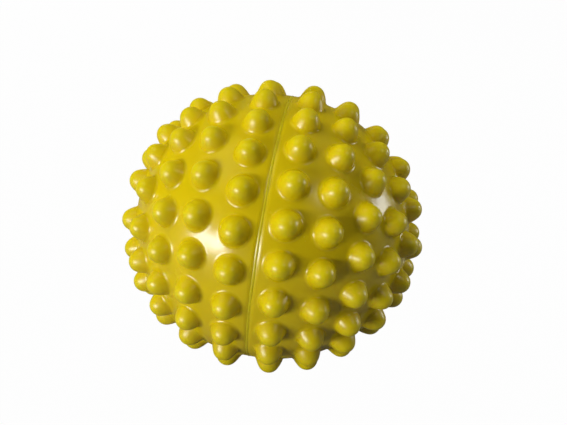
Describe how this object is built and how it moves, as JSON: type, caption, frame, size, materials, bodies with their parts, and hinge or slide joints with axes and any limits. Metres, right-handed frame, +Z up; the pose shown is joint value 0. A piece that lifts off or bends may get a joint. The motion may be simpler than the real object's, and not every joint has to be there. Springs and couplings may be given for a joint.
{
  "type": "massage ball",
  "caption": "Hollow soft vinyl massage ball covered with blunt nubs, with a welded join round its middle and an inflation valve at one pole.",
  "frame": {"origin": "centre of the ball, in the plane of its welded join", "axes": "+X from the valve's pole to the plain pole, along the axis that the rings of nubs go round; +Z up"},
  "size_m": [0.0869, 0.0868, 0.0868],
  "materials": {
    "plain_skin": "gloss",
    "valve_skin": "gloss",
    "weld": "gloss",
    "seat": "satin",
    "plug": "satin"
  },
  "bodies": {
    "ball": {"plain_half_shell": "plain_skin", "valve_half_shell": "valve_skin", "seam_weld_bead": "weld", "valve_seat": "seat"},
    "plug": {"valve_plug": "plug"}
  },
  "joints": [
    {"name": "plug_pull", "type": "slide", "parent": "ball", "child": "plug", "axis": [-1, 0, 0], "range_m": [0, 0.014]}
  ]
}
